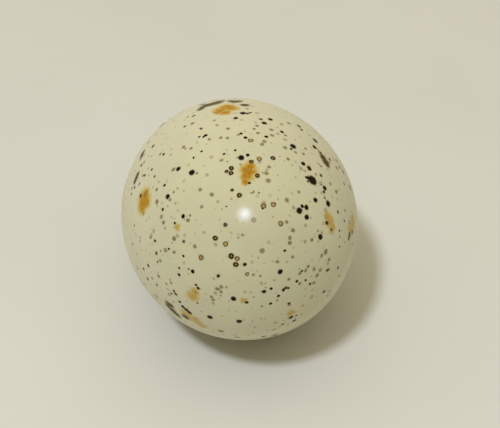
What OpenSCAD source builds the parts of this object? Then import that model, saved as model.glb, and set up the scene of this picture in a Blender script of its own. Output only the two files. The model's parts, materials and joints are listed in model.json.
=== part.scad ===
// Bird's-egg scent bottle: a hollow glazed porcelain egg with a silver collar and screw cap.
// Lengths are in millimetres. The bottle lies as it does on a table: on its belly and on the edge
// of its cap, with the blunt end of the egg raised and facing -Y. The table is the plane z = 0.

/* [Egg] */
// Greatest diameter of the egg
egg_d = 36; // [34:0.5:44]
// Radius of curvature of the side, from the widest ring towards the blunt end
blunt_side_r = 26; // [24:0.5:27.5]
// Radius of the blunt end
blunt_end_r = 16; // [13:0.5:17]
// Radius of curvature of the side, from the widest ring towards the neck
narrow_side_r = 30; // [28:0.5:36]
// Thickness of the porcelain wall
shell_t = 2.2; // [1.6:0.1:3]

/* [Neck] */
// Diameter of the hole through the neck
mouth_d = 8; // [7:0.1:8.6]
// Thickness of the porcelain neck
neck_wall = 1.4; // [1:0.1:1.8]
// Thickness of the plaster between the neck and the silver tube
cement_t = 0.3; // [0.2:0.05:0.5]

/* [Silver mount] */
// Thickness of the spun silver collar
collar_t = 0.45; // [0.3:0.05:0.6]
// Outer radius of the collar's upright wall
collar_r = 7; // [6.9:0.1:7.6]
// Radius of the collar's foot, where it meets the porcelain
collar_foot_r = 8.6; // [8.2:0.1:9.4]
// Height of the flat seat of the cap above the root of the neck
seat_h = 1; // [0.8:0.1:1.4]
// Thickness of the wire along the collar's foot
foot_wire_d = 0.8; // [0.6:0.05:1]
// Thickness of the threaded tube's wall, under the thread
tube_t = 0.45; // [0.35:0.05:0.6]
// Thickness of the ring that closes the mouth
mouth_ring_t = 0.5; // [0.4:0.05:0.7]

/* [Screw thread] */
// Rise of the thread in one turn
pitch = 1.5; // [1.3:0.05:1.7]
// Height of the thread's ridge
ridge_h = 0.35; // [0.25:0.05:0.4]
// Width of the ridge at its crest
ridge_crest_w = 0.3; // [0.2:0.05:0.35]
// Turns of the thread on the tube
male_turns = 2.2; // [1.8:0.1:2.8]
// Turns by which the thread in the cap is shorter
female_short = 0.7; // [0.6:0.1:1]
// Plain stretch of the tube at each end of its thread
thread_end_h = 0.3; // [0.2:0.05:0.6]
// Radial gap between the two threads
thread_gap = 0.14; // [0.1:0.01:0.16]

/* [Cap] */
// Thickness of the silver cap
cap_t = 0.45; // [0.35:0.05:0.6]
// Wall of the threaded sleeve, outside its thread
sleeve_t = 0.35; // [0.3:0.05:0.5]
// Height of the cap's straight side above the disc that backs the cork
cap_head_h = 0.2; // [0.1:0.1:2]
// Radius of the rolled edge between the side and the dome
cap_edge_r = 2; // [1.5:0.1:3]
// Radius of the dome
dome_r = 12; // [11:0.5:15]
// Thickness of the wire round the cap's mouth
rim_wire_d = 0.9; // [0.7:0.05:1.1]
// Depth of the step turned in the cap's side, where the wire sits
wire_step_t = 0.2; // [0.16:0.02:0.24]
// Thickness of the cork disc
cork_t = 1.8; // [1.2:0.1:2]
// Thickness of the disc that backs the cork
backing_t = 0.4; // [0.3:0.05:0.6]

/* [Fits] */
// Solder or cement line between pieces that don't move
seam = 0.02; // [0.01:0.005:0.04]
// Gap between pieces that turn or lift past each other
running_gap = 0.1; // [0.06:0.01:0.15]
// Gap under the cork and round it when the cap is home
cork_gap = 0.06; // [0.04:0.01:0.1]

/* [Hidden] */
$fn = 120;
eps = 0.01;

// The profile lies in a plane with x as the distance from the axis and y as the place along the axis.
// y is 0 at the egg's widest ring, below 0 towards the blunt end and above 0 towards the cap.
egg_r = egg_d / 2;
// Distance beyond the axis of the centres of the two side arcs
blunt_side_x = blunt_side_r - egg_r;
narrow_side_x = narrow_side_r - egg_r;
// Place of the blunt end's centre, where its arc runs smoothly into the side
blunt_end_y = sqrt(pow(blunt_side_r - blunt_end_r, 2) - pow(blunt_side_x, 2));
// Angle of the line through both centres, on which the two arcs meet
blunt_join_angle = atan2(blunt_end_y, blunt_side_x);

// Height of the narrow side's arc, moved out by `out`, at distance x from the axis
function narrow_side_y(x, out = 0) =
    sqrt(pow(narrow_side_r + out, 2) - pow(x + narrow_side_x, 2));

// Neck, and the silver tube round it
mouth_r = mouth_d / 2;
neck_r = mouth_r + neck_wall;
neck_root_y = narrow_side_y(neck_r);
tube_in_r = neck_r + cement_t + 2 * seam;
tube_root_r = tube_in_r + tube_t;
thread_crest_r = tube_root_r + ridge_h;
seat_y = neck_root_y + seat_h;

// Thread: the tube's starts above the seat, and the tube ends above the thread
ridge_foot_w = pitch / 2;
ridge_sink = 0.1;
thread_steps = 30;
fade_turns = 0.12;
least_ridge = 0.1;
male_start_y = seat_y + thread_end_h + ridge_foot_w / 2;
lip_y = male_start_y + male_turns * pitch + ridge_foot_w / 2 + thread_end_h;
ring_top_y = lip_y + seam + mouth_ring_t;
// The cap's thread starts half a pitch above the tube's, so that each ridge runs in the other's groove
female_start_y = male_start_y + pitch / 2;
female_turns = male_turns - female_short;

// Threaded sleeve in the cap
sleeve_crest_r = tube_root_r + thread_gap;
sleeve_root_r = thread_crest_r + thread_gap;
sleeve_out_r = sleeve_root_r + sleeve_t;
cap_in_r = sleeve_out_r + seam;
cap_r = cap_in_r + cap_t;

// Heights in the cap, at rest on its seat
cap_mouth_y = seat_y + running_gap;
rim_wire_y = cap_mouth_y + rim_wire_d / 2;
sleeve_foot_y = rim_wire_y;
sleeve_top_y = ring_top_y - running_gap;
cork_y = ring_top_y + cork_gap;
backing_y = cork_y + cork_t + cork_gap;
cap_side_top_y = backing_y + backing_t + cap_head_h;

// Middle of the rim wire, from the axis
rim_wire_x = cap_r - wire_step_t + seam + rim_wire_d / 2;

// Centre of the rolled edge's arc, and of the dome that runs smoothly into it
cap_edge_x = cap_r - cap_edge_r;
dome_y = cap_side_top_y - sqrt(pow(dome_r - cap_edge_r, 2) - pow(cap_edge_x, 2));
dome_join_angle = asin(cap_edge_x / (dome_r - cap_edge_r));

// Tilt of the axis at which the belly and a round edge at (x, y), of radius r, touch one plane
function resting_tilt(x, y, r) =
    asin((narrow_side_r - r) / norm([x + narrow_side_x, y])) - atan2(x + narrow_side_x, y);

tilt = min(resting_tilt(cap_edge_x, cap_side_top_y, cap_edge_r),
           resting_tilt(rim_wire_x, rim_wire_y, rim_wire_d / 2));
// Height of the middle of the widest ring above the table
middle_z = narrow_side_r - narrow_side_x * cos(tilt);
// Reach of the bottle along Y, to each side of the middle of the widest ring
blunt_reach = blunt_end_y * cos(tilt) + blunt_end_r;
cap_reach = tilt < dome_join_angle
    ? dome_y * cos(tilt) + dome_r
    : cap_side_top_y * cos(tilt) + cap_edge_x * sin(tilt) + cap_edge_r;
middle_y = (blunt_reach - cap_reach) / 2;

// Lays the upright bottle down on the table
module lay() {
    translate([0, middle_y, middle_z])
        rotate([-90 - tilt, 0, 0])
            children();
}

// Turns a profile round the bottle's axis
module turn() {
    lay()
        rotate_extrude()
            children();
}

// Rectangle between two radii and two heights
module band(x1, x2, y1, y2) {
    translate([x1, y1])
        square([x2 - x1, y2 - y1]);
}

// Circle that bounds the narrow side of the egg, moved out by `out`
module narrow_side_circle(out = 0) {
    translate([-narrow_side_x, 0])
        circle(narrow_side_r + out);
}

// Half profile of the egg, moved in by `inset`. Its three parts overlap, and their outlines touch
// at the widest ring and where the blunt end begins.
module egg_area(inset) {
    join_y = (blunt_side_r - inset) * sin(blunt_join_angle);
    intersection() {
        narrow_side_circle(-inset);
        band(0, egg_r, 0, narrow_side_r);
    }
    intersection() {
        translate([-blunt_side_x, 0])
            circle(blunt_side_r - inset);
        band(0, egg_r, -join_y, egg_r / 2);
    }
    intersection() {
        translate([0, -blunt_end_y])
            circle(blunt_end_r - inset);
        band(0, egg_r, -blunt_end_y - blunt_end_r, -blunt_end_y);
    }
}

// Hollow egg with its neck
module porcelain_body() {
    color([0.80, 0.78, 0.66])
        turn()
            difference() {
                union() {
                    egg_area(0);
                    band(0, neck_r, 0, lip_y);
                }
                egg_area(shell_t);
                band(0, mouth_r, 0, lip_y + eps);
            }
}

// Plaster that fills the space between the porcelain and the silver
module neck_cement() {
    color([0.93, 0.91, 0.86])
        turn()
            difference() {
                union() {
                    band(neck_r + seam, tube_in_r - seam, 0, lip_y);
                    band(neck_r + seam, collar_r - collar_t - seam, 0, seat_y - collar_t - seam);
                }
                narrow_side_circle(seam);
                band(tube_in_r - seam, tube_root_r + seam, neck_root_y - seam, lip_y + eps);
            }
}

// Spun collar: a skirt on the egg's shoulder, an upright wall and the cap's flat seat
module collar_skirt() {
    wall_foot_y = narrow_side_y(collar_r - collar_t, cement_t);
    color([0.86, 0.85, 0.82])
        turn()
            union() {
                difference() {
                    intersection() {
                        narrow_side_circle(cement_t / 2 + collar_t);
                        band(collar_r - collar_t, collar_foot_r, 0, seat_y);
                    }
                    narrow_side_circle(cement_t / 2);
                }
                band(collar_r - collar_t, collar_r, wall_foot_y, seat_y);
                band(tube_root_r + seam, collar_r, seat_y - collar_t, seat_y);
            }
}

// Round wire along the foot of the collar
module collar_foot_wire() {
    wire_r = foot_wire_d / 2;
    wire_x = collar_foot_r + wire_r + seam;
    color([0.86, 0.85, 0.82])
        turn()
            translate([wire_x, narrow_side_y(wire_x, wire_r + seam)])
                circle(wire_r);
}

// Ridge of a right-handed thread, from radius foot_r, where it is sunk into its wall, to crest_r.
// The ridge grows out of the wall at one end and sinks into it at the other.
module thread_ridge(foot_r, crest_r, start_y, turns) {
    steps = ceil(turns * thread_steps);
    side = sign(crest_r - foot_r);
    points = [
        for (i = [0 : steps])
            let (
                done = i / steps * turns,
                share = max(least_ridge, min(1, done / fade_turns, (turns - done) / fade_turns)),
                shown_r = foot_r + (crest_r - foot_r) * share,
                y = start_y + done * pitch,
                across = [cos(360 * done), sin(360 * done)]
            )
            each [
                [foot_r * across.x, foot_r * across.y, y - side * ridge_foot_w / 2],
                [shown_r * across.x, shown_r * across.y, y - side * ridge_crest_w / 2],
                [shown_r * across.x, shown_r * across.y, y + side * ridge_crest_w / 2],
                [foot_r * across.x, foot_r * across.y, y + side * ridge_foot_w / 2]
            ]
    ];
    walls = [
        for (i = [0 : steps - 1], k = [0 : 3])
            let (a = 4 * i + k, b = 4 * i + (k + 1) % 4)
            each [[a, b, b + 4], [a, b + 4, a + 4]]
    ];
    last = 4 * steps;
    ends = [[0, 2, 1], [0, 3, 2], [last, last + 1, last + 2], [last, last + 2, last + 3]];
    polyhedron(points, concat(walls, ends));
}

// Silver tube with the thread for the cap
module neck_tube() {
    color([0.86, 0.85, 0.82])
        lay()
            union() {
                rotate_extrude()
                    band(tube_in_r, tube_root_r, neck_root_y, lip_y);
                thread_ridge(tube_root_r - ridge_sink, thread_crest_r, male_start_y, male_turns);
            }
}

// Flat ring over the lip of the neck and the end of the tube
module mouth_ring() {
    color([0.86, 0.85, 0.82])
        turn()
            band(mouth_r, tube_root_r, lip_y + seam, ring_top_y);
}

// Half profile of the cap, moved in by `inset`
module cap_area(inset, bottom_y) {
    band(0, cap_r - inset, bottom_y, cap_side_top_y);
    // Rolled edge
    intersection() {
        translate([cap_edge_x, cap_side_top_y])
            circle(cap_edge_r - inset);
        band(cap_edge_x, cap_r, cap_side_top_y, cap_side_top_y + cap_edge_r);
    }
    // Dome
    intersection() {
        translate([0, dome_y])
            circle(dome_r - inset);
        polygon([
            [0, dome_y],
            [cap_edge_x, cap_side_top_y],
            [dome_r * tan(dome_join_angle), dome_y + dome_r],
            [0, dome_y + dome_r]
        ]);
        band(0, cap_r, cap_side_top_y, dome_y + dome_r);
    }
}

// Domed cap
module cap_shell() {
    color([0.88, 0.87, 0.84])
        turn()
            difference() {
                cap_area(0, cap_mouth_y);
                cap_area(cap_t, cap_mouth_y - eps);
                // Step for the rim wire
                band(cap_r - wire_step_t, cap_r + eps, cap_mouth_y - eps, cap_mouth_y + rim_wire_d + seam);
            }
}

// Round wire soldered round the cap's mouth
module cap_rim_wire() {
    color([0.88, 0.87, 0.84])
        turn()
            translate([rim_wire_x, rim_wire_y])
                circle(rim_wire_d / 2);
}

// Sleeve soldered into the cap, with the thread that runs on the tube
module cap_thread_sleeve() {
    color([0.83, 0.82, 0.79])
        lay()
            union() {
                rotate_extrude()
                    band(sleeve_root_r, sleeve_out_r, sleeve_foot_y, sleeve_top_y);
                thread_ridge(sleeve_root_r + ridge_sink, sleeve_crest_r, female_start_y, female_turns);
            }
}

// Flat disc in the cap that presses the cork down
module cap_backing_disc() {
    color([0.83, 0.82, 0.79])
        lay()
            translate([0, 0, backing_y])
                cylinder(r = cap_in_r - seam, h = backing_t);
}

// Loose cork disc that closes the mouth
module cork_seal() {
    color([0.72, 0.55, 0.36])
        lay()
            translate([0, 0, cork_y])
                cylinder(r = cap_in_r - running_gap, h = cork_t);
}

porcelain_body();
neck_cement();
collar_skirt();
collar_foot_wire();
neck_tube();
mouth_ring();
cap_shell();
cap_rim_wire();
cap_thread_sleeve();
cap_backing_disc();
cork_seal();
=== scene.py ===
"""Finishes a bird's-egg scent bottle: a speckled, glazed porcelain egg with a silver collar and
screw cap. Sizes are in millimetres unless a name says otherwise, and Blender's own units are metres.
Every shape is a profile turned round the bottle's axis: x is the distance from the axis and y the
place along it, from 0 at the egg's widest ring to the cap."""

import json
import math
from collections import namedtuple

import bmesh
import bpy
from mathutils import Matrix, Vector, noise


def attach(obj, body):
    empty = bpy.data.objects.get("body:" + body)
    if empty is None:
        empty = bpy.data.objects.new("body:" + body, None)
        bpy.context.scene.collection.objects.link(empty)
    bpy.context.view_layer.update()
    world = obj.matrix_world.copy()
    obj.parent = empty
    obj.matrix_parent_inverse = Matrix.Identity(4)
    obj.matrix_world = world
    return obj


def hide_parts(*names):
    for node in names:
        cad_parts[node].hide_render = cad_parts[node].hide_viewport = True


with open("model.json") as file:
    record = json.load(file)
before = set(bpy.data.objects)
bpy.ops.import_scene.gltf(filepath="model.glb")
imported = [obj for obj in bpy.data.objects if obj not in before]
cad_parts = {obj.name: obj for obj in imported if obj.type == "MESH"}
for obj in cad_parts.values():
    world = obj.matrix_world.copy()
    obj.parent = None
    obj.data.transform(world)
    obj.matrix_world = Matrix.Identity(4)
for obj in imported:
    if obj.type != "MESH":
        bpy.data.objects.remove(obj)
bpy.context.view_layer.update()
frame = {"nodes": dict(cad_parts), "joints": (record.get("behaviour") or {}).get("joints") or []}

MM = 0.001
AROUND = 192  # steps of a turned shape, round the axis
EGG_AROUND = 240
ON_AXIS = 1e-6  # a point nearer to the axis than this lies on it
SHARP_EDGE = 50  # degrees from which an edge stays sharp

# Egg
EGG_R = 18.0
BLUNT_SIDE_R = 26.0
BLUNT_END_R = 16.0
NARROW_SIDE_R = 30.0
SHELL_T = 2.2
BLUNT_SIDE_X = BLUNT_SIDE_R - EGG_R
NARROW_SIDE_X = NARROW_SIDE_R - EGG_R
BLUNT_END_Y = math.sqrt((BLUNT_SIDE_R - BLUNT_END_R) ** 2 - BLUNT_SIDE_X**2)
BLUNT_JOIN_ANGLE = math.degrees(math.atan2(BLUNT_END_Y, BLUNT_SIDE_X))
MOUTH_R = 4.0
LIP_ROUND_R = 0.25
NECK_R = 5.4
NECK_ROOT_Y = math.sqrt(NARROW_SIDE_R**2 - (NECK_R + NARROW_SIDE_X) ** 2)

# Silver mount
COLLAR_T = 0.45
COLLAR_R = 7.0
COLLAR_FOOT_R = 8.6
COLLAR_GAP = 0.15
COLLAR_FILLET_R = 0.35
COLLAR_FILLET_RISE = 0.1
SEAT_ROUND_R = 0.12
COLLAR_LINES_APART = 0.5
COLLAR_LINE = 0.05  # depth, and half the width
SEAT_RISE = 1.0
SEAT_Y = NECK_ROOT_Y + SEAT_RISE
FOOT_WIRE_D = 0.8
TUBE_IN_R = 5.74
TUBE_R = 6.19
PITCH = 1.5
MALE_TURNS = 2.2
RIDGE_H = 0.35
RIDGE_FOOT_W = PITCH / 2
RIDGE_CREST_W = 0.3
THREAD_END_H = 0.3
FADE_TURNS = 0.12
THREAD_STEPS = 96  # a turn
RIDGE_ROOT = 0.1  # how deep the ridge is sunk in the tube
RIDGE_EASE = 0.05  # how much of the crest's corners is taken off
LEAST_FADE = 0.1  # height left where the ridge ends, as a share
TUBE_EDGE = 0.06  # chamfer
SEAM = 0.02
MALE_START_Y = SEAT_Y + THREAD_END_H + RIDGE_FOOT_W / 2
LIP_Y = MALE_START_Y + MALE_TURNS * PITCH + RIDGE_FOOT_W / 2 + THREAD_END_H
RING_T = 0.5
RING_TOP_Y = LIP_Y + SEAM + RING_T

# Cap
CAP_T = 0.45
CAP_R = 7.5
CAP_MOUTH_GAP = 0.1
CAP_SIDE_ABOVE_RING = 2.52
CAP_MOUTH_Y = SEAT_Y + CAP_MOUTH_GAP
CAP_SIDE_TOP_Y = RING_TOP_Y + CAP_SIDE_ABOVE_RING
CAP_EDGE_R = 2.0
CAP_EDGE_X = CAP_R - CAP_EDGE_R
DOME_R = 12.0
DOME_Y = CAP_SIDE_TOP_Y - math.sqrt((DOME_R - CAP_EDGE_R) ** 2 - CAP_EDGE_X**2)
DOME_JOIN_ANGLE = math.degrees(math.asin(CAP_EDGE_X / (DOME_R - CAP_EDGE_R)))
RIM_WIRE_D = 0.9
WIRE_STEP_T = 0.2
CAP_CHAMFER = 0.04
CAP_LINE = 0.06  # depth, and half the width
CAP_LINES_BELOW_EDGE = (0.9, 0.5)
RIM_WIRE_X = CAP_R - WIRE_STEP_T + SEAM + RIM_WIRE_D / 2
RIM_WIRE_Y = CAP_MOUTH_Y + RIM_WIRE_D / 2
RIM_NOTCHES = 84
RIM_NOTCH = 0.09  # depth
NOTCH_STEPS = 8
WIRE_STEPS = 20

# The bottle's own axes in the frame. The cap's hinge runs along the axis, through the top of the mouth.
hinge = next(joint for joint in frame["joints"] if joint["name"] == "cap_turn")
ALONG = Vector(hinge["axis"]).normalized()
ACROSS = Vector((1, 0, 0))
UPWARD = ACROSS.cross(ALONG)
MIDDLE = Vector(hinge["pos_m"]) / MM - ALONG * RING_TOP_Y

# Camera, found by fitting the egg's outline in the photograph
PHOTO_WIDTH = 500
PHOTO_HEIGHT = 428
PHOTO_FOCAL = 1030.6  # in the photograph's pixels
VIEW_ELEVATION = 43.3
VIEW_TURN = 13.34
VIEW_DISTANCE = 160.0
VIEW_RIGHT = -1.768
VIEW_UP = -0.513
SENSOR_WIDTH = 36.0
NEAREST_SEEN = 10

turn, elevation = math.radians(VIEW_TURN), math.radians(VIEW_ELEVATION)
VIEW_BACK = Vector(
    (
        -math.sin(turn) * math.cos(elevation),
        -math.cos(turn) * math.cos(elevation),
        math.sin(elevation),
    )
)
VIEW_ROTATION = (-VIEW_BACK).to_track_quat("-Z", "Y")
VIEW_X = VIEW_ROTATION @ Vector((1, 0, 0))
VIEW_Y = VIEW_ROTATION @ Vector((0, 1, 0))
EYE = MIDDLE + VIEW_BACK * VIEW_DISTANCE - VIEW_X * VIEW_RIGHT - VIEW_Y * VIEW_UP


# ---------------------------------------------------------------- profiles and turned shapes


def arc(centre_x, centre_y, radius, start, end, steps):
    """Points of an arc in the profile's plane, between two angles in degrees."""
    angles = [math.radians(start + (end - start) * i / steps) for i in range(steps + 1)]
    return [(centre_x + radius * math.cos(a), centre_y + radius * math.sin(a)) for a in angles]


def egg_side(inset, end_x):
    """Profile of the egg, moved in by inset, from its blunt pole to end_x on the narrow side."""
    end_angle = math.degrees(math.acos((end_x + NARROW_SIDE_X) / (NARROW_SIDE_R - inset)))
    blunt = arc(0, -BLUNT_END_Y, BLUNT_END_R - inset, -90, -BLUNT_JOIN_ANGLE, steps=36)
    side = arc(-BLUNT_SIDE_X, 0, BLUNT_SIDE_R - inset, -BLUNT_JOIN_ANGLE, 0, steps=26)
    narrow = arc(-NARROW_SIDE_X, 0, NARROW_SIDE_R - inset, 0, end_angle, steps=40)
    return blunt + side[1:] + narrow[1:]


def rounded(corner, before, after, radius, steps=3):
    """Points that round off a corner between its two neighbours."""
    c, b, a = Vector(corner), Vector(before), Vector(after)
    start = c + (b - c).normalized() * radius
    end = c + (a - c).normalized() * radius
    shares = [i / steps for i in range(steps + 1)]
    return [tuple(start * (1 - s) ** 2 + c * 2 * s * (1 - s) + end * s**2) for s in shares]


def turned_line(radius, y, size):
    """Profile of a fine groove in an upright wall, as deep as size and twice as wide."""
    return [(radius, y - size), (radius - size, y), (radius, y + size)]


def place(x, y, angle):
    """The point of the frame, in metres, at an angle round the axis on a turned profile."""
    sideways = ACROSS * math.cos(angle) + UPWARD * math.sin(angle)
    return (MIDDLE + ALONG * y + sideways * x) * MM


def rows(profile, closed):
    """Share of the texture's height for each profile point, by its distance along the profile."""
    ends = profile + profile[:1] if closed else profile
    lengths = [math.dist(a, b) for a, b in zip(ends, ends[1:])]
    reached = [sum(lengths[:i]) / sum(lengths) for i in range(len(lengths) + 1)]
    return reached


def lathe(name, profile, closed=True, around=AROUND, shift=None, heights=None):
    """Turns a profile round the axis. An open profile starts and ends on the axis, and a closed one
    joins its end to its start. shift moves a point in the profile's plane, by its place and angle, and
    heights gives each point's texture row."""
    heights = heights or rows(profile, closed)
    mesh = bmesh.new()
    map_layer = mesh.loops.layers.uv.new("OFBake")
    rings = []
    for x, y in profile:
        if x < ON_AXIS:
            rings.append([mesh.verts.new(place(0, y, 0))])
            continue
        ring = []
        for k in range(around):
            angle = 2 * math.pi * k / around
            moved = shift(x, y, angle) if shift else (x, y)
            ring.append(mesh.verts.new(place(*moved, angle)))
        rings.append(ring)
    strips = list(zip(rings, rings[1:]))
    if closed:
        strips.append((rings[-1], rings[0]))
    for row, (low, high) in enumerate(strips):
        if len(low) == len(high) == 1:
            continue
        for k in range(around):
            after = (k + 1) % around
            left, right, middle = k / around, (k + 1) / around, (k + 0.5) / around
            foot, top = heights[row], heights[row + 1]
            if len(low) == 1:
                corners = [low[0], high[after], high[k]]
                places = [(middle, foot), (right, top), (left, top)]
            elif len(high) == 1:
                corners = [low[k], low[after], high[0]]
                places = [(left, foot), (right, foot), (middle, top)]
            else:
                corners = [low[k], low[after], high[after], high[k]]
                places = [(left, foot), (right, foot), (right, top), (left, top)]
            face = mesh.faces.new(corners)
            face.smooth = True
            for loop, spot in zip(face.loops, places):
                loop[map_layer].uv = spot
    return finished(name, mesh)


def finished(name, mesh):
    """The object made from a mesh, with its normals outward and only its true edges sharp."""
    bmesh.ops.recalc_face_normals(mesh, faces=mesh.faces)
    data = bpy.data.meshes.new(name)
    mesh.to_mesh(data)
    mesh.free()
    data.set_sharp_from_angle(angle=math.radians(SHARP_EDGE))
    piece = bpy.data.objects.new(name, data)
    bpy.context.scene.collection.objects.link(piece)
    return piece


def swept(name, sections):
    """Joins a row of closed sections into one skin and closes both ends."""
    mesh = bmesh.new()
    rings = [[mesh.verts.new(point) for point in section] for section in sections]
    for low, high in zip(rings, rings[1:]):
        for k in range(len(low)):
            after = (k + 1) % len(low)
            face = mesh.faces.new([low[k], low[after], high[after], high[k]])
            face.smooth = True
    mesh.faces.new(rings[0])
    mesh.faces.new(rings[-1])
    return finished(name, mesh)


def worn(depth, size, seed):
    """A shift that presses a surface in by up to depth, in soft waves of about that size."""

    def shift(x, y, angle):
        spot = Vector((x * math.cos(angle), x * math.sin(angle), y)) / size + Vector((seed, 0, 0))
        press = depth * (0.5 + 0.5 * noise.noise(spot))
        return x - press, y

    return shift


# ---------------------------------------------------------------- shader nodes


class Shader:
    """Builds one material's node tree. Each method adds a node and returns its output socket."""

    def __init__(self, name):
        self.material = bpy.data.materials.new(name)
        self.material.use_nodes = True
        self.tree = self.material.node_tree
        self.surface = self.tree.nodes["Principled BSDF"]
        self.place = self.tree.nodes.new("ShaderNodeTexCoord").outputs["Object"]

    def put(self, socket, value):
        if isinstance(value, bpy.types.NodeSocket):
            self.tree.links.new(value, socket)
        else:
            socket.default_value = value

    def node(self, kind, *inputs, **settings):
        """A node of this kind with its settings, and its first inputs set or linked."""
        made = self.tree.nodes.new("ShaderNode" + kind)
        for key, value in settings.items():
            setattr(made, key, value)
        for socket, value in zip(made.inputs, inputs):
            if value is not None:
                self.put(socket, value)
        return made

    def math(self, operation, a, b=0.0):
        return self.node("Math", a, b, operation=operation).outputs[0]

    def vector(self, operation, a, b):
        made = self.node("VectorMath", a, b, operation=operation)
        scalar = operation in ("DISTANCE", "DOT_PRODUCT", "LENGTH")
        return made.outputs["Value" if scalar else "Vector"]

    def scaled(self, vector, factor):
        made = self.node("VectorMath", vector, operation="SCALE")
        self.put(made.inputs["Scale"], factor)
        return made.outputs["Vector"]

    def step(self, value, low, high, to_low=0.0, to_high=1.0):
        """Runs smoothly from to_low to to_high as the value goes from low to high."""
        made = self.node("MapRange", value, low, high, to_low, to_high, interpolation_type="SMOOTHSTEP")
        return made.outputs["Result"]

    def mix(self, share, a, b):
        made = self.node("Mix", data_type="RGBA")
        for key, value in (("Factor_Float", share), ("A_Color", a), ("B_Color", b)):
            socket = next(s for s in made.inputs if s.identifier == key)
            self.put(socket, value)
        return next(s for s in made.outputs if s.identifier == "Result_Color")

    def noise(self, vector, scale, detail=2.0, roughness=0.5, output="Fac"):
        made = self.node("TexNoise", vector)
        for key, value in (("Scale", scale), ("Detail", detail), ("Roughness", roughness)):
            self.put(made.inputs[key], value)
        return made.outputs[output]

    def cells(self, vector, scale, feature="F1"):
        made = self.node("TexVoronoi", vector, feature=feature)
        self.put(made.inputs["Scale"], scale)
        return made

    def bump(self, height, strength, distance):
        made = self.node("Bump")
        for key, value in (("Strength", strength), ("Distance", distance), ("Height", height)):
            self.put(made.inputs[key], value)
        return made.outputs["Normal"]

    def finish(self, **sockets):
        """Sets or links the shader's own sockets, by name."""
        for key, value in sockets.items():
            self.put(self.surface.inputs[key.replace("_", " ")], value)
        return self.material


def colour(red, green, blue):
    """A colour as seen on screen, from 0 to 255, as the linear value that a shader takes."""
    shares = [c / 255 for c in (red, green, blue)]
    linear = [s / 12.92 if s <= 0.04045 else ((s + 0.055) / 1.055) ** 2.4 for s in shares]
    return (*linear, 1.0)


# ---------------------------------------------------------------- porcelain


# Shares of the egg's texture that its outside, neck and inside take
OUTSIDE_ROWS = 0.7
NECK_FIRST_ROW = 0.72
NECK_ROWS = 0.08
INSIDE_ROWS = 0.19


def porcelain_piece():
    """The hollow egg with its neck. Its outside takes most of the texture."""
    outside = egg_side(0, NECK_R)
    inside = egg_side(SHELL_T, MOUTH_R)
    round_y = LIP_Y - LIP_ROUND_R
    neck = arc(NECK_R - LIP_ROUND_R, round_y, LIP_ROUND_R, 0, 90, steps=4)
    neck += arc(MOUTH_R + LIP_ROUND_R, round_y, LIP_ROUND_R, 90, 180, steps=4)
    outer_rows = [OUTSIDE_ROWS * share for share in rows(outside, False)]
    neck_rows = [NECK_FIRST_ROW + NECK_ROWS * i / len(neck) for i in range(len(neck))]
    inner_rows = [1 - INSIDE_ROWS * share for share in rows(inside, False)]
    return lathe(
        "porcelain_egg",
        outside + neck + inside[::-1],
        closed=False,
        around=EGG_AROUND,
        shift=worn(depth=0.05, size=11, seed=3.0),
        heights=outer_rows + neck_rows + inner_rows[::-1],
    )


Spot = namedtuple("Spot", "x y width")  # the photograph's pixels, and millimetres

# Places of the larger specks and blotches that the photograph shows, each with its width on the egg
BLACK_SPOTS = [
    Spot(312.4, 180.2, 1.55),
    Spot(309.3, 178.6, 0.9),
    Spot(306.4, 177.6, 0.5),
    Spot(303.3, 163.6, 0.75),
    Spot(309.2, 168.2, 0.85),
    Spot(324.7, 188.2, 0.8),
    Spot(323.9, 191.8, 0.5),
    Spot(315.4, 200.1, 0.8),
    Spot(328.1, 203.4, 0.95),
    Spot(306.4, 207.1, 0.75),
    Spot(302.3, 206.2, 0.55),
    Spot(299.4, 210.7, 0.95),
    Spot(306.6, 217.0, 0.75),
    Spot(320.4, 237.0, 0.85),
    Spot(293.2, 146.3, 0.95),
    Spot(241.3, 157.7, 0.9),
    Spot(191.8, 172.4, 0.95),
    Spot(178.3, 168.8, 0.8),
    Spot(167.6, 196.6, 0.8),
    Spot(183.0, 216.4, 0.65),
    Spot(192.6, 271.6, 0.65),
    Spot(179.2, 274.8, 0.55),
    Spot(280.2, 271.8, 0.75),
    Spot(264.1, 291.6, 0.65),
    Spot(283.5, 289.8, 0.5),
    Spot(278.4, 296.0, 0.5),
    Spot(233.6, 298.8, 0.8),
    Spot(239.2, 321.4, 0.9),
    Spot(210.0, 317.2, 0.9),
    Spot(205.6, 135.4, 0.6),
    Spot(203.7, 136.8, 0.5),
    Spot(264.2, 123.0, 0.8),
    Spot(270.4, 119.4, 0.8),
    Spot(235.8, 118.1, 0.7),
    Spot(245.4, 137.6, 0.55),
    Spot(266.2, 136.5, 0.6),
    Spot(282.0, 131.9, 0.65),
    Spot(201.8, 151.2, 0.35),
    Spot(296.8, 281.3, 0.45),
    Spot(168.8, 249.2, 0.4),
    Spot(183.4, 255.9, 0.4),
    Spot(249.4, 183.0, 0.4),
    Spot(226.5, 206.6, 0.25),
]
RING_SPOTS = [
    Spot(225.7, 244.0, 0.75),
    Spot(237.3, 258.6, 0.75),
    Spot(259.1, 158.8, 0.8),
    Spot(250.8, 140.4, 0.8),
    Spot(264.4, 141.3, 0.6),
    Spot(262.2, 144.3, 0.6),
    Spot(247.1, 274.2, 0.6),
    Spot(280.9, 223.4, 0.75),
    Spot(289.8, 237.8, 0.5),
    Spot(326.0, 251.4, 0.6),
    Spot(200.8, 257.6, 0.6),
    Spot(288.0, 158.9, 0.55),
    Spot(273.2, 204.5, 0.7),
    Spot(263.5, 206.0, 0.8),
]
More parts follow.
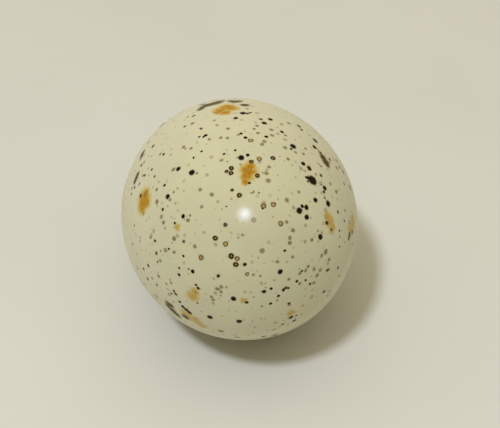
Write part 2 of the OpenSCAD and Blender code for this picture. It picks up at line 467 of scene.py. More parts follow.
THICK_RINGS = [
    Spot(239.3, 195.4, 0.75),
    Spot(231.2, 256.1, 0.8),
    Spot(235.9, 264.5, 0.8),
    Spot(231.5, 168.2, 0.75),
    Spot(230.9, 173.0, 0.75),
    Spot(226.7, 171.4, 0.55),
    Spot(273.0, 158.1, 0.75),
    Spot(257.6, 175.7, 0.7),
    Spot(251.4, 161.6, 0.65),
    Spot(321.1, 175.4, 0.6),
    Spot(215.3, 238.2, 0.75),
]
OCHRE_BLOTCHES = [
    Spot(143.8, 199.6, 2.6),
    Spot(142.4, 205.0, 2.2),
    Spot(146.0, 193.5, 1.5),
    Spot(248.8, 170.6, 1.9),
    Spot(250.4, 166.0, 1.3),
    Spot(247.2, 176.4, 1.5),
    Spot(245.2, 182.0, 0.9),
    Spot(226.5, 106.8, 2.1),
    Spot(221.0, 109.8, 1.9),
    Spot(231.5, 108.2, 1.8),
    Spot(217.5, 112.4, 1.2),
    Spot(225.5, 112.4, 1.5),
    Spot(146.6, 203.0, 1.5),
]
TAN_BLOTCHES = [
    Spot(187.0, 315.0, 2.4),
    Spot(194.5, 320.0, 2.6),
    Spot(201.0, 325.0, 2.0),
    Spot(176.8, 227.4, 1.2),
    Spot(329.8, 221.5, 2.0),
    Spot(332.0, 227.5, 1.7),
    Spot(327.0, 215.5, 1.4),
    Spot(353.0, 222.0, 2.6),
    Spot(350.5, 229.0, 2.4),
    Spot(192.6, 296.4, 2.0),
    Spot(194.8, 291.6, 1.6),
    Spot(291.4, 313.0, 1.3),
    Spot(290.4, 317.0, 0.9),
    Spot(243.9, 300.8, 1.2),
]
DARK_SPECKS = [
    Spot(153.0, 146.1, 0.75),
    Spot(163.7, 154.2, 0.5),
    Spot(141.3, 165.1, 0.6),
    Spot(151.9, 169.4, 0.45),
    Spot(142.8, 175.7, 0.45),
    Spot(144.7, 175.4, 0.45),
    Spot(139.2, 183.9, 0.45),
    Spot(134.7, 187.3, 0.5),
    Spot(140.7, 195.7, 0.6),
    Spot(164.7, 185.1, 0.5),
    Spot(162.8, 209.4, 0.5),
    Spot(174.7, 223.0, 0.4),
    Spot(148.2, 265.4, 0.6),
    Spot(157.6, 261.8, 0.35),
    Spot(143.6, 268.8, 0.5),
    Spot(147.6, 278.8, 0.55),
    Spot(179.4, 267.9, 0.4),
    Spot(188.8, 269.1, 0.3),
    Spot(157.0, 285.1, 0.5),
    Spot(173.9, 291.2, 0.5),
    Spot(171.5, 293.6, 0.4),
    Spot(196.0, 285.1, 0.4),
    Spot(198.2, 288.2, 0.5),
    Spot(197.3, 303.0, 0.35),
    Spot(218.2, 276.0, 0.55),
    Spot(179.7, 301.8, 0.55),
    Spot(307.7, 181.5, 0.35),
    Spot(321.3, 184.8, 0.25),
    Spot(321.0, 166.1, 0.4),
    Spot(327.1, 222.4, 0.4),
    Spot(331.6, 229.7, 0.4),
    Spot(344.4, 221.2, 0.4),
    Spot(339.5, 230.6, 0.4),
    Spot(338.0, 212.1, 0.5),
    Spot(247.6, 155.0, 0.55),
    Spot(251.5, 161.6, 0.5),
    Spot(231.2, 168.0, 0.6),
    Spot(226.4, 171.3, 0.5),
    Spot(199.4, 136.8, 0.4),
    Spot(241.2, 133.5, 0.5),
    Spot(243.0, 113.2, 1.0),
    Spot(247.5, 113.6, 0.6),
    Spot(250.2, 112.6, 0.5),
    Spot(298.9, 126.1, 0.8),
    Spot(301.4, 129.7, 0.55),
    Spot(315.3, 140.6, 0.95),
    Spot(314.4, 147.0, 0.8),
    Spot(291.1, 148.8, 0.45),
    Spot(329.8, 159.4, 0.6),
    Spot(343.2, 172.0, 0.7),
    Spot(271.1, 288.6, 0.45),
    Spot(288.5, 287.9, 0.35),
    Spot(310.0, 283.9, 0.45),
    Spot(305.6, 280.2, 0.4),
    Spot(339.4, 246.7, 0.35),
    Spot(338.1, 267.8, 0.45),
    Spot(327.2, 270.2, 0.5),
    Spot(329.0, 269.2, 0.4),
    Spot(324.0, 291.6, 0.55),
    Spot(301.9, 271.1, 0.4),
    Spot(284.8, 250.7, 0.4),
    Spot(270.4, 303.6, 0.5),
    Spot(288.9, 303.6, 0.5),
    Spot(291.2, 317.3, 0.7),
    Spot(296.6, 315.3, 0.4),
    Spot(294.2, 320.7, 0.6),
    Spot(282.8, 324.4, 0.45),
    Spot(246.7, 302.3, 0.5),
    Spot(224.2, 153.8, 0.4),
    Spot(193.6, 157.7, 0.4),
    Spot(235.4, 150.1, 0.35),
    Spot(263.8, 336.4, 0.8),
    Spot(183.0, 306.8, 0.75),
    Spot(186.2, 309.6, 0.94),
    Spot(189.6, 312.6, 0.88),
]
OLIVE_SPECKS = [
    Spot(148.6, 142.4, 0.8),
    Spot(160.4, 154.2, 0.55),
    Spot(183.7, 147.0, 0.61),
    Spot(191.0, 148.2, 0.48),
    Spot(144.1, 162.4, 0.5),
    Spot(131.9, 188.2, 0.5),
    Spot(173.4, 169.4, 0.65),
    Spot(196.7, 173.3, 0.4),
    Spot(200.1, 189.7, 0.55),
    Spot(156.8, 201.8, 0.7),
    Spot(163.4, 222.4, 0.55),
    Spot(194.8, 246.4, 0.55),
    Spot(174.2, 252.1, 0.5),
    Spot(160.6, 250.9, 0.4),
    Spot(201.2, 257.3, 0.75),
    Spot(160.3, 260.6, 0.55),
    Spot(171.2, 283.0, 0.45),
    Spot(166.4, 283.9, 0.45),
    Spot(221.2, 286.7, 0.55),
    Spot(217.2, 288.8, 0.55),
    Spot(220.9, 291.8, 0.5),
    Spot(211.8, 297.0, 0.55),
    Spot(213.3, 300.0, 0.5),
    Spot(156.4, 296.3, 0.8),
    Spot(220.9, 331.2, 0.9),
    Spot(303.5, 153.9, 0.5),
    Spot(324.7, 197.9, 0.5),
    Spot(286.8, 222.1, 0.5),
    Spot(292.9, 230.3, 0.6),
    Spot(286.8, 200.0, 0.6),
    Spot(298.9, 191.8, 0.5),
    Spot(312.0, 240.0, 0.5),
    Spot(289.8, 242.7, 0.55),
    Spot(336.2, 191.8, 0.6),
    Spot(345.0, 210.6, 0.5),
    Spot(339.8, 236.9, 0.4),
    Spot(330.4, 183.9, 0.5),
    Spot(350.1, 187.6, 0.9),
    Spot(336.8, 167.9, 0.7),
    Spot(339.5, 167.0, 0.7),
    Spot(336.8, 160.9, 0.7),
    Spot(299.6, 283.5, 0.5),
    Spot(314.0, 282.9, 0.5),
    Spot(305.6, 270.5, 0.5),
    Spot(299.9, 273.5, 0.5),
    Spot(308.3, 266.5, 0.5),
    Spot(314.0, 269.5, 0.5),
    Spot(317.0, 275.5, 0.6),
    Spot(288.9, 279.2, 0.45),
    Spot(325.7, 252.1, 0.7),
    Spot(321.7, 255.7, 0.55),
    Spot(327.7, 295.9, 0.5),
    Spot(292.5, 257.1, 0.45),
    Spot(277.5, 261.8, 0.5),
    Spot(277.1, 300.3, 0.4),
    Spot(275.8, 335.1, 1.0),
    Spot(209.4, 139.2, 0.5),
    Spot(221.5, 160.1, 0.5),
    Spot(238.5, 134.7, 0.5),
    Spot(271.5, 129.8, 0.6),
    Spot(272.2, 135.4, 0.6),
    Spot(285.6, 135.4, 0.5),
    Spot(281.7, 124.2, 0.5),
    Spot(288.9, 123.3, 0.7),
    Spot(285.0, 147.6, 0.6),
    Spot(217.0, 125.3, 0.45),
    Spot(214.2, 120.4, 0.45),
    Spot(228.2, 128.6, 0.55),
    Spot(187.9, 116.8, 0.5),
    Spot(227.3, 138.0, 0.5),
    Spot(220.9, 137.7, 0.5),
    Spot(254.2, 128.9, 0.5),
    Spot(269.2, 167.2, 0.5),
    Spot(266.5, 173.3, 0.6),
    Spot(268.3, 180.6, 0.7),
    Spot(305.6, 148.5, 0.5),
    Spot(211.8, 194.6, 0.6),
    Spot(173.6, 192.3, 0.4),
    Spot(192.5, 123.4, 0.7),
    Spot(156.6, 189.5, 0.5),
]
BROWN_SMEARS = [
    Spot(137.6, 174.5, 1.04),
    Spot(136.2, 178.0, 1.17),
    Spot(134.9, 181.3, 1.04),
    Spot(142.6, 153.2, 1.3),
    Spot(141.6, 156.6, 1.17),
    Spot(168.8, 306.6, 1.35),
    Spot(172.5, 310.2, 1.76),
    Spot(175.8, 313.5, 1.62),
    Spot(177.8, 315.5, 1.22),
    Spot(168.6, 304.0, 1.35),
    Spot(171.4, 305.4, 1.08),
    Spot(185.6, 317.0, 1.35),
    Spot(320.5, 153.0, 0.7),
    Spot(323.3, 157.5, 1.4),
    Spot(325.8, 162.0, 1.54),
    Spot(327.3, 165.0, 0.98),
    Spot(200.5, 109.2, 1.3),
    Spot(203.5, 106.8, 1.59),
    Spot(206.5, 104.7, 1.45),
    Spot(210.5, 104.6, 1.89),
    Spot(214.5, 103.2, 2.46),
    Spot(219.0, 101.6, 1.89),
    Spot(230.5, 100.9, 1.3),
    Spot(235.0, 101.6, 1.74),
    Spot(239.0, 101.1, 1.3),
    Spot(244.8, 105.0, 1.45),
    Spot(349.5, 235.0, 0.9),
    Spot(348.9, 238.0, 0.8),
    Spot(352.3, 231.8, 0.7),
    Spot(273.5, 335.3, 0.8),
]

HIGHLIGHT = Spot(244.2, 214.2, 1.3)

# A speck's two colours, how much it covers, how soft its edge is and where its rim starts. The last two
# are shares of its radius.
Paint = namedtuple("Paint", "centre rim strength soft rim_from", defaults=(1.0, 0.25, 0.55))

# Specks strewn one to a cell: the cells' spacing, the share of cells that hold one, and the least and
# greatest radius. Lengths are in millimetres.
Scatter = namedtuple("Scatter", "spacing presence least most")

# The glaze and its stains
IVORY = colour(202, 196, 163)
IVORY_CLOUD = colour(197, 192, 161)
TAN_STAIN = colour(182, 150, 70)
OCHRE_FRINGE = colour(188, 156, 44)
OCHRE_CORE = colour(166, 116, 0)
FRINGE_STRENGTH = 0.85
TAN_FADE = (1.4, 0.4)  # shares of a blotch's radius where it starts and is at its full strength
FRINGE_FADE = (1.8, 0.9)
CORE_FADE = (1.2, 0.5)
FAR_OCHRE = Scatter(9.5, 0.35, 1.1, 2.4)
SPECK_RAGGED = 0.3  # how far an edge wanders, in mm
BLOTCH_RAGGED = 1.1
FAR_AWAY = 100.0  # share of a speck's radius at which nothing of it shows
RIM_SETS_IN = (0.25, 0.1)  # before and after rim_from, as shares of a speck's radius
HIDDEN_FROM = (0.35, 0.1)  # the far side fades in between these shares of the egg's radius

# Specks strewn at random, from faint to dark. The last kind lies only on the far side.
FAINT_SPECKS = Scatter(1.05, 0.75, 0.13, 0.27)
FAINT_PAINT = Paint(colour(160, 148, 88), colour(124, 110, 50))
KHAKI_SPECKS = Scatter(1.7, 0.6, 0.2, 0.4)
KHAKI_PAINT = Paint(colour(138, 118, 52), colour(88, 66, 14))
SMALL_SPECKS = Scatter(1.8, 1.0, 0.17, 0.34)
SMALL_PAINT = Paint(colour(24, 12, 0), colour(74, 50, 2), rim_from=0.8)
SMALL_SHOWN, SMALL_HIDDEN = 0.13, 0.7  # their presence on the two sides, in place of the scatter's own
LARGE_SPECKS = Scatter(5.0, 0.5, 0.3, 0.65)
LARGE_PAINT = Paint(colour(14, 7, 0), colour(66, 40, 0), strength=0.97, rim_from=0.88)

# Specks at the photograph's places, in the order in which they are laid
PLACED_SPECKS = [
    (BROWN_SMEARS, Paint(colour(72, 52, 0), colour(66, 46, 0), soft=0.5)),
    (OLIVE_SPECKS, Paint(colour(102, 82, 22), colour(92, 72, 14), strength=0.78, soft=0.5)),
    (DARK_SPECKS, Paint(colour(10, 4, 0), colour(68, 44, 0), soft=0.3, rim_from=0.8)),
    (RING_SPOTS, Paint(colour(168, 146, 88), colour(64, 40, 6), 0.95, soft=0.2, rim_from=0.68)),
    (THICK_RINGS, Paint(colour(150, 116, 62), colour(36, 18, 0), rim_from=0.42)),
    (BLACK_SPOTS, Paint(colour(20, 11, 0), colour(66, 40, 0), rim_from=0.88)),
]


def photo_ray(spot):
    """Direction from the camera through a place in the photograph."""
    across, down = spot.x - PHOTO_WIDTH / 2, spot.y - PHOTO_HEIGHT / 2
    return (VIEW_X * across - VIEW_Y * down - VIEW_BACK * PHOTO_FOCAL).normalized()


def egg_spots(piece, spots):
    """Places on the egg, in metres, that the spots cover, and their radii."""
    found = []
    for spot in spots:
        hit, point, _, _ = piece.ray_cast(EYE * MM, photo_ray(spot))
        if hit:
            found.append((point, spot.width * MM / 2))
    return found


def nearest_spot(shader, vector, spots):
    """How far the surface lies from the nearest spot's centre, as a share of that spot's radius."""
    nearest = None
    for centre, radius in spots:
        apart = shader.vector("DISTANCE", vector, centre)
        share = shader.math("DIVIDE", apart, radius)
        nearest = share if nearest is None else shader.math("MINIMUM", nearest, share)
    return nearest


def scattered_spots(shader, vector, scatter, presence):
    """The same share for specks strewn at random, and a random number for each speck."""
    cells = shader.cells(vector, 1 / (scatter.spacing * MM))
    split = shader.node("SeparateColor", cells.outputs["Color"])
    chance, size, tint = split.outputs[0], split.outputs[1], split.outputs[2]
    radius = shader.step(size, 0.0, 1.0, scatter.least / scatter.spacing, scatter.most / scatter.spacing)
    share = shader.math("DIVIDE", cells.outputs["Distance"], radius)
    absent = shader.math("GREATER_THAN", chance, presence)
    return shader.math("ADD", share, shader.math("MULTIPLY", absent, FAR_AWAY)), tint


def painted(shader, under, share, paint, strength):
    """Lays a speck with a darker rim over the colour beneath it."""
    before, after = RIM_SETS_IN
    ring = shader.step(share, paint.rim_from - before, paint.rim_from + after)
    tone = shader.mix(ring, paint.centre, paint.rim)
    cover = shader.step(share, 1 + paint.soft, 1 - paint.soft)
    return shader.mix(shader.math("MULTIPLY", cover, strength), under, tone)


def blotched(shader, tone, tan, ochre, stain):
    """Lays the tan and ochre blotches, which fade out at their edges."""
    soaked = shader.math("MULTIPLY", shader.step(tan, *TAN_FADE), stain)
    tone = shader.mix(soaked, tone, TAN_STAIN)
    fringe = shader.math("MULTIPLY", shader.step(ochre, *FRINGE_FADE), FRINGE_STRENGTH)
    tone = shader.mix(shader.math("MULTIPLY", fringe, stain), tone, OCHRE_FRINGE)
    core = shader.math("MULTIPLY", shader.step(ochre, *CORE_FADE), stain)
    return shader.mix(core, tone, OCHRE_CORE)


def strewn(shader, tone, vector, crowd, hidden):
    """Lays the random specks. Each kind's strength varies from speck to speck."""

    def lay(tone, scatter, presence, paint, weakest, strongest):
        share, tint = scattered_spots(shader, vector, scatter, presence)
        strength = shader.step(tint, 0.0, 1.0, weakest, strongest)
        return painted(shader, tone, share, paint, strength)

    presence = shader.math("MULTIPLY", crowd, FAINT_SPECKS.presence)
    tone = lay(tone, FAINT_SPECKS, presence, FAINT_PAINT, weakest=0.2, strongest=0.65)
    presence = shader.math("MULTIPLY", crowd, KHAKI_SPECKS.presence)
    tone = lay(tone, KHAKI_SPECKS, presence, KHAKI_PAINT, weakest=0.3, strongest=0.8)
    presence = shader.math("MULTIPLY", crowd, shader.step(hidden, 0.0, 1.0, SMALL_SHOWN, SMALL_HIDDEN))
    tone = lay(tone, SMALL_SPECKS, presence, SMALL_PAINT, weakest=0.88, strongest=1.0)
    share, _ = scattered_spots(shader, vector, LARGE_SPECKS, LARGE_SPECKS.presence)
    strength = shader.math("MULTIPLY", hidden, LARGE_PAINT.strength)
    return painted(shader, tone, share, LARGE_PAINT, strength)


def glaze_material(piece):
    """Ivory glaze over specks and blotches, as on a wild bird's egg."""
    shader = Shader("speckled_glaze")
    place_mm = shader.scaled(shader.place, 1 / MM)
    wander = shader.noise(place_mm, scale=1.9, detail=3.0, output="Color")
    offset = shader.vector("SUBTRACT", wander, (0.5, 0.5, 0.5))
    ragged = shader.vector("ADD", shader.place, shader.scaled(offset, SPECK_RAGGED * MM))
    torn = shader.vector("ADD", shader.place, shader.scaled(offset, BLOTCH_RAGGED * MM))

    # The photograph's side carries the specks it shows, and the far side others strewn at random
    from_middle = shader.vector("SUBTRACT", place_mm, tuple(MIDDLE))
    toward = shader.vector("DOT_PRODUCT", from_middle, tuple(VIEW_BACK))
    hidden = shader.step(toward, *(share * EGG_R for share in HIDDEN_FROM))

    cloud = shader.noise(place_mm, scale=0.11, detail=3.0)
    tone = shader.mix(shader.step(cloud, 0.3, 0.7), IVORY, IVORY_CLOUD)
    patchy = shader.noise(place_mm, scale=1.6, detail=3.0)
    stain = shader.step(patchy, 0.3, 0.65, to_low=0.8, to_high=1.0)
    tan = nearest_spot(shader, torn, egg_spots(piece, TAN_BLOTCHES))
    far_ochre, _ = scattered_spots(shader, ragged, FAR_OCHRE, FAR_OCHRE.presence)
    far_ochre = shader.math("ADD", far_ochre, shader.step(hidden, 1.0, 0.0, to_low=0.0, to_high=9.0))
    ochre = nearest_spot(shader, torn, egg_spots(piece, OCHRE_BLOTCHES))
    tone = blotched(shader, tone, tan, shader.math("MINIMUM", far_ochre, ochre), stain)

    # Fine specks lie thicker in some places than in others
    crowd = shader.noise(place_mm, scale=0.13, detail=2.0)
    crowd = shader.step(crowd, 0.35, 0.65, to_low=0.5, to_high=1.2)
    tone = strewn(shader, tone, ragged, crowd, hidden)
    for spots, paint in PLACED_SPECKS:
        share = nearest_spot(shader, ragged, egg_spots(piece, spots))
        tone = painted(shader, tone, share, paint, paint.strength)

    ripple = shader.noise(place_mm, scale=0.35, detail=2.0)
    return shader.finish(
        Base_Color=tone,
        Roughness=0.38,
        Specular_IOR_Level=0.0,
        Coat_Weight=0.4,
        Coat_Roughness=0.2,
        Coat_IOR=1.5,
        Subsurface_Weight=1.0,
        Subsurface_Radius=(1.0, 0.8, 0.5),
        Subsurface_Scale=9 * MM,
        Normal=shader.bump(ripple, strength=0.25, distance=0.05 * MM),
        Coat_Normal=shader.bump(ripple, strength=0.15, distance=0.05 * MM),
    )


# ---------------------------------------------------------------- silver


def silver_material(name, tint, tarnish, least_roughness, most_roughness):
    """Silver with turning marks, fine scratches and a little tarnish."""
    shader = Shader(name)
    place_mm = shader.scaled(shader.place, 1 / MM)
    along = shader.vector("DOT_PRODUCT", place_mm, tuple(ALONG))
    turned = shader.node("CombineXYZ", along, 0.0, 0.0).outputs[0]
    marks = shader.noise(turned, scale=9.0, detail=4.0, roughness=0.7)
    smear = shader.noise(place_mm, scale=0.45, detail=4.0, roughness=0.6)
    stretched = shader.vector("MULTIPLY", place_mm, (1.0, 9.0, 2.0))
    scratch = shader.noise(stretched, scale=1.6, detail=3.0, roughness=0.65)
    film = shader.step(smear, 0.42, 0.72, to_low=0.0, to_high=0.55)
    wear = shader.math("ADD", shader.math("MULTIPLY", scratch, 0.5), shader.math("MULTIPLY", smear, 0.5))
    marked, scratched = shader.math("MULTIPLY", marks, 0.6), shader.math("MULTIPLY", scratch, 0.4)
    height = shader.math("ADD", marked, scratched)
    return shader.finish(
        Base_Color=shader.mix(film, tint, tarnish),
        Metallic=1.0,
        Roughness=shader.step(wear, 0.3, 0.7, least_roughness, most_roughness),
        Normal=shader.bump(height, strength=0.18, distance=0.03 * MM),
    )


def ring_section(centre_x, centre_y, radius):
    """Profile of a round wire."""
    return arc(centre_x, centre_y, radius, 0, 360, WIRE_STEPS)[:-1]


def narrow_arc(out, start_x, end_x):
    """Points of the egg's narrow side, moved out, between two distances from the axis."""
    radius = NARROW_SIDE_R + out
    ends = [math.degrees(math.acos((x + NARROW_SIDE_X) / radius)) for x in (start_x, end_x)]
    return arc(-NARROW_SIDE_X, 0, radius, *ends, steps=16)


def collar_piece():
    """Spun collar: a skirt on the egg's shoulder, a fillet, an upright wall and the cap's flat seat."""
    skirt = narrow_arc(COLLAR_GAP + COLLAR_T, COLLAR_FOOT_R, COLLAR_R + COLLAR_FILLET_R)
    corner = (COLLAR_R, skirt[-1][1] + COLLAR_FILLET_RISE)
    foot = rounded(corner, skirt[-1], (COLLAR_R, SEAT_Y), COLLAR_FILLET_R, steps=6)
    middle_y = (foot[-1][1] + SEAT_Y) / 2
    lines = turned_line(COLLAR_R, middle_y - COLLAR_LINES_APART / 2, COLLAR_LINE)
    lines += turned_line(COLLAR_R, middle_y + COLLAR_LINES_APART / 2, COLLAR_LINE)
    edge = rounded((COLLAR_R, SEAT_Y), (COLLAR_R, 0), (0, SEAT_Y), SEAT_ROUND_R)
    seat_x = TUBE_R + SEAM
    wall_x = COLLAR_R - COLLAR_T
    flange = [(seat_x, SEAT_Y), (seat_x, SEAT_Y - COLLAR_T), (wall_x, SEAT_Y - COLLAR_T)]
    under = narrow_arc(COLLAR_GAP, wall_x, COLLAR_FOOT_R)
    section = skirt + foot + lines + edge + flange + under
    return lathe("collar", section, shift=worn(depth=0.03, size=4, seed=9.0))


def foot_wire_piece():
    """Wire that lies on the egg along the skirt's lower edge."""
    wire_r = FOOT_WIRE_D / 2
    x = COLLAR_FOOT_R + wire_r + SEAM
    y = math.sqrt((NARROW_SIDE_R + wire_r + SEAM) ** 2 - (x + NARROW_SIDE_X) ** 2)
    return lathe("collar_wire", ring_section(x, y, wire_r), shift=worn(depth=0.03, size=3, seed=5.0))


def rim_bead_piece():
    """Wire round the cap's mouth, notched all round so that wet fingers can turn it."""

    def notched(x, y, angle):
        depth = RIM_NOTCH * (0.5 - 0.5 * math.cos(RIM_NOTCHES * angle)) ** 2
        from_x, from_y = x - RIM_WIRE_X, y - RIM_WIRE_Y
        share = 1 - depth / (RIM_WIRE_D / 2)
        return RIM_WIRE_X + from_x * share, RIM_WIRE_Y + from_y * share

    section = ring_section(RIM_WIRE_X, RIM_WIRE_Y, RIM_WIRE_D / 2)
    return lathe("cap_rim_bead", section, around=RIM_NOTCHES * NOTCH_STEPS, shift=notched)


def tube_piece():
    """Silver tube that carries the thread."""
    outside = [(TUBE_R, NECK_ROOT_Y), (TUBE_R, LIP_Y - TUBE_EDGE), (TUBE_R - TUBE_EDGE, LIP_Y)]
    return lathe("neck_sleeve", outside + [(TUBE_IN_R, LIP_Y), (TUBE_IN_R, NECK_ROOT_Y)])


def thread_piece():
    """Right-handed ridge round the tube, which grows out of it and sinks back in. The crest's corners
    are eased by laying it as three short facets."""
    steps = round(MALE_TURNS * THREAD_STEPS)
    foot_x = TUBE_R - RIDGE_ROOT
    flat = RIDGE_CREST_W / 2
    sections = []
    for i in range(steps + 1):
        done = i / steps * MALE_TURNS
        share = max(LEAST_FADE, min(1, done / FADE_TURNS, (MALE_TURNS - done) / FADE_TURNS))
        crest_x = foot_x + (RIDGE_H + RIDGE_ROOT) * share
        y = MALE_START_Y + done * PITCH
        half = [
            (foot_x, RIDGE_FOOT_W / 2),
            (crest_x - RIDGE_EASE * share, flat + RIDGE_EASE),
            (crest_x, flat - RIDGE_EASE),
        ]
        profile = [(x, y - reach) for x, reach in half] + [(x, y + reach) for x, reach in half[::-1]]
        sections.append([place(x, along, -2 * math.pi * done) for x, along in profile])
    return swept("neck_thread", sections)


def cap_profile():
    """Profile of the cap: up the outside to the dome's pole, and back down the inside."""
    step_x = CAP_R - WIRE_STEP_T
    step_y = CAP_MOUTH_Y + RIM_WIRE_D + SEAM
    outside = [
        (step_x - CAP_CHAMFER, CAP_MOUTH_Y),
        (step_x, CAP_MOUTH_Y + CAP_CHAMFER),
        (step_x, step_y),
        (CAP_R - CAP_CHAMFER, step_y),
        (CAP_R, step_y + CAP_CHAMFER),
    ]
    for below in CAP_LINES_BELOW_EDGE:
        outside += turned_line(CAP_R, CAP_SIDE_TOP_Y - below, CAP_LINE)
    join = 90 - DOME_JOIN_ANGLE
    outside += arc(CAP_EDGE_X, CAP_SIDE_TOP_Y, CAP_EDGE_R, 0, join, steps=14)
    outside += arc(0, DOME_Y, DOME_R, join, 90, steps=30)[1:]
    inside = arc(0, DOME_Y, DOME_R - CAP_T, 90, join, steps=20)
    inside += arc(CAP_EDGE_X, CAP_SIDE_TOP_Y, CAP_EDGE_R - CAP_T, join, 0, steps=10)[1:]
    inside.append((CAP_R - CAP_T, CAP_MOUTH_Y))
    return outside, inside


# Shares of the cap's texture that its outside and inside take
CAP_OUTSIDE_ROWS = 0.75
CAP_INSIDE_FIRST_ROW = 0.77
CAP_INSIDE_ROWS = 0.22


def cap_piece():
    """Domed cap with a rolled edge."""
    outside, inside = cap_profile()
    heights = [CAP_OUTSIDE_ROWS * share for share in rows(outside, False)]
    heights += [CAP_INSIDE_FIRST_ROW + CAP_INSIDE_ROWS * share for share in rows(inside, False)]
    return lathe("cap_dome", outside + inside, heights=heights + [1.0])


# ---------------------------------------------------------------- plaster and cork


def plaster_material():
    """Set plaster: chalky, with fine pores."""
    shader = Shader("set_plaster")
    place_mm = shader.scaled(shader.place, 1 / MM)
    cloud = shader.noise(place_mm, scale=0.8, detail=4.0)
    tone = shader.mix(shader.step(cloud, 0.3, 0.7), colour(238, 233, 220), colour(222, 215, 200))
    pores = shader.step(shader.cells(place_mm, 5.0).outputs["Distance"], 0.1, 0.3)
    normal = shader.bump(pores, strength=0.3, distance=0.03 * MM)
    return shader.finish(Base_Color=tone, Roughness=0.9, Normal=normal)


def cork_material():
    """Cork: tan grains with dark pits between them."""
    shader = Shader("cut_cork")
    place_mm = shader.scaled(shader.place, 1 / MM)
    grains = shader.cells(place_mm, 1.6)
    tint = shader.node("SeparateColor", grains.outputs["Color"]).outputs[0]
    tone = shader.mix(tint, colour(196, 156, 108), colour(160, 118, 76))
    pits = shader.step(shader.noise(place_mm, scale=2.2, detail=4.0), 0.62, 0.72)
    tone = shader.mix(pits, tone, colour(84, 52, 30))
    depth = shader.math("SUBTRACT", shader.step(grains.outputs["Distance"], 0.6, 0.2), pits)
    normal = shader.bump(depth, strength=0.5, distance=0.08 * MM)
    return shader.finish(Base_Color=tone, Roughness=0.85, Normal=normal)


# ---------------------------------------------------------------- room

# Brightness of the room's walls and ceiling, and of the backdrop that stands in for them where the
# camera looks or metal and glaze mirror
WALL_LIGHT = (0.03, 0.02, 0.0, 1.0)
CEILING_LIGHT = (1.27, 1.15, 0.84, 1.0)
CEILING_FALL = 2.0  # how fast the ceiling's light falls off towards the walls
BACKDROP = (0.45, 0.43, 0.35, 1.0)

FLOOR_HALF = 2400
FLOOR_PALE = colour(208, 208, 200)
FLOOR_DARK = colour(205, 205, 197)

# The window lamp, seen from the egg
WINDOW_AZIMUTH = -133.3
WINDOW_HEIGHT = 62.2
WINDOW_DISTANCE = 800
WINDOW_SIZE = 90
WINDOW_LEVEL = 193.0
WINDOW_TINT = (0.84, 0.88, 1.0)

# The lamp that the glaze mirrors. Its distance is from the place on the egg where it shows.
HIGHLIGHT_DISTANCE = 165.0
HIGHLIGHT_SIZE = 31
HIGHLIGHT_LEVEL = 64.0
HIGHLIGHT_TINT = (0.68, 0.72, 1.0)


def floor_piece():
    """The table top: plain pale paper."""
    half = FLOOR_HALF * MM
    data = bpy.data.meshes.new("table_top")
    corners = [(-half, -half, 0), (half, -half, 0), (half, half, 0), (-half, half, 0)]
    data.from_pydata(corners, [], [(0, 1, 2, 3)])
    piece = bpy.data.objects.new("table_top", data)
    bpy.context.scene.collection.objects.link(piece)
    shader = Shader("table_paper")
    place_mm = shader.scaled(shader.place, 1 / MM)
    cloud = shader.noise(place_mm, scale=0.02, detail=3.0)
    tone = shader.mix(shader.step(cloud, 0.3, 0.7), FLOOR_PALE, FLOOR_DARK)
    grain = shader.noise(place_mm, scale=1.4, detail=3.0)
    normal = shader.bump(grain, strength=0.08, distance=0.1 * MM)
    data.materials.append(shader.finish(Base_Color=tone, Roughness=0.75, Normal=normal))


def lamp(name, direction, distance, size, level, tint, mirrored=False):
    """A round lamp that faces the egg. level is its brightness as seen from the egg. A mirrored lamp
    shows only as a highlight, and any other only as light on matt surfaces."""
    data = bpy.data.lights.new(name, "AREA")
    data.shape = "DISK"
    data.size = size * MM
    data.color = tint
    data.energy = level * math.pi**2 * (size * MM / 2) ** 2
    made = bpy.data.objects.new(name, data)
    bpy.context.scene.collection.objects.link(made)
    centre = MIDDLE * MM
    made.location = centre + direction.normalized() * distance * MM
    made.rotation_mode = "QUATERNION"
    made.rotation_quaternion = direction.to_track_quat("Z", "Y")
    made.visible_glossy = mirrored
    made.visible_diffuse = not mirrored
    made.visible_camera = False


def highlight_lamp(piece):
    """A small lamp beside the camera, where the glaze mirrors it at the photograph's highlight."""
    _, point, normal, _ = piece.ray_cast(EYE * MM, photo_ray(HIGHLIGHT))
    stands = point / MM + photo_ray(HIGHLIGHT).reflect(normal) * HIGHLIGHT_DISTANCE
    toward = stands - MIDDLE
    size, level, tint = HIGHLIGHT_SIZE, HIGHLIGHT_LEVEL, HIGHLIGHT_TINT
    lamp("highlight", toward, toward.length, size, level, tint, mirrored=True)


def from_angles(azimuth, height):
    """Direction at an azimuth counter-clockwise from +X and a height above the table, in degrees."""
    a, h = math.radians(azimuth), math.radians(height)
    return Vector((math.cos(a) * math.cos(h), math.sin(a) * math.cos(h), math.sin(h)))


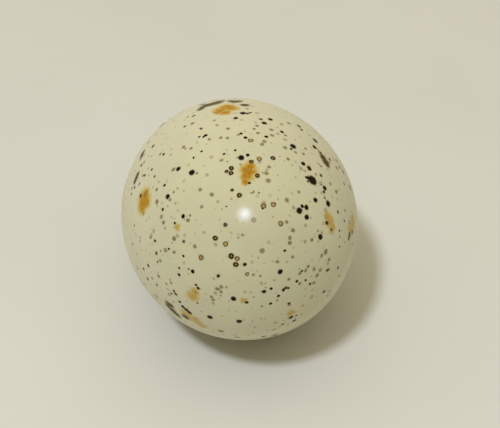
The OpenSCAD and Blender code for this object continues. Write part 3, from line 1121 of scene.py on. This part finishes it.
def room_light():
    """A pale ceiling over dim, warm walls, and one window lamp. The camera sees a plain backdrop instead
    of the room, and so do metal, glaze and glass."""
    world = bpy.data.worlds.new("room")
    bpy.context.scene.world = world
    world.use_nodes = True
    nodes, links = world.node_tree.nodes, world.node_tree.links

    def joined(operation, a, b):
        made = nodes.new("ShaderNodeMath")
        made.operation = operation
        made.use_clamp = True
        links.new(a, made.inputs[0])
        if isinstance(b, float):
            made.inputs[1].default_value = b
        else:
            links.new(b, made.inputs[1])
        return made.outputs[0]

    split = nodes.new("ShaderNodeSeparateXYZ")
    links.new(nodes.new("ShaderNodeTexCoord").outputs["Generated"], split.inputs[0])
    tone = nodes.new("ShaderNodeMixRGB")
    tone.inputs["Color1"].default_value = WALL_LIGHT
    tone.inputs["Color2"].default_value = CEILING_LIGHT
    links.new(joined("POWER", split.outputs["Z"], CEILING_FALL), tone.inputs["Fac"])

    path = nodes.new("ShaderNodeLightPath")
    mirrors = joined("MAXIMUM", path.outputs["Is Glossy Ray"], path.outputs["Is Transmission Ray"])
    seen = nodes.new("ShaderNodeMixRGB")
    seen.inputs["Color2"].default_value = BACKDROP
    links.new(joined("MAXIMUM", path.outputs["Is Camera Ray"], mirrors), seen.inputs["Fac"])
    links.new(tone.outputs[0], seen.inputs["Color1"])
    links.new(seen.outputs[0], nodes["Background"].inputs["Color"])

    direction = from_angles(WINDOW_AZIMUTH, WINDOW_HEIGHT)
    lamp("window", direction, WINDOW_DISTANCE, WINDOW_SIZE, WINDOW_LEVEL, WINDOW_TINT)


def camera():
    """The camera at the photograph's place."""
    data = bpy.data.cameras.new("photo_view")
    data.sensor_width = SENSOR_WIDTH
    data.lens = PHOTO_FOCAL / PHOTO_WIDTH * SENSOR_WIDTH
    data.clip_start = NEAREST_SEEN * MM
    made = bpy.data.objects.new("photo_view", data)
    bpy.context.scene.collection.objects.link(made)
    made.location = EYE * MM
    made.rotation_mode = "QUATERNION"
    made.rotation_quaternion = VIEW_ROTATION
    bpy.context.scene.camera = made


def dress(piece, body, slot, material, *nodes):
    """Gives a piece its finish and its body, and hides the CAD nodes that it stands for."""
    piece.data.materials.append(material)
    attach(piece, body)
    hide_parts(*nodes)


camera()
room_light()
floor_piece()

egg = porcelain_piece()
dress(egg, "bottle", "porcelain", glaze_material(egg), "porcelain_body")
highlight_lamp(egg)

polished = silver_material(
    "polished_silver",
    tint=colour(232, 228, 218),
    tarnish=colour(196, 180, 146),
    least_roughness=0.1,
    most_roughness=0.3,
)
inner = silver_material(
    "inner_silver",
    tint=colour(214, 206, 190),
    tarnish=colour(170, 150, 112),
    least_roughness=0.25,
    most_roughness=0.45,
)
dress(collar_piece(), "bottle", "silver", polished, "collar_skirt")
dress(foot_wire_piece(), "bottle", "silver", polished, "collar_foot_wire")
dress(tube_piece(), "bottle", "inner_silver", inner, "neck_tube")
dress(thread_piece(), "bottle", "inner_silver", inner)
dress(cap_piece(), "cap", "silver", polished, "cap_shell")
dress(rim_bead_piece(), "cap", "silver", polished, "cap_rim_wire")
finishes = {
    "mouth_ring": polished,
    "cap_thread_sleeve": inner,
    "cap_backing_disc": inner,
    "neck_cement": plaster_material(),
    "cork_seal": cork_material(),
}
for name, finish in finishes.items():
    frame["nodes"][name].data.materials[0] = finish

scene = bpy.context.scene
scene.view_settings.view_transform = "Standard"
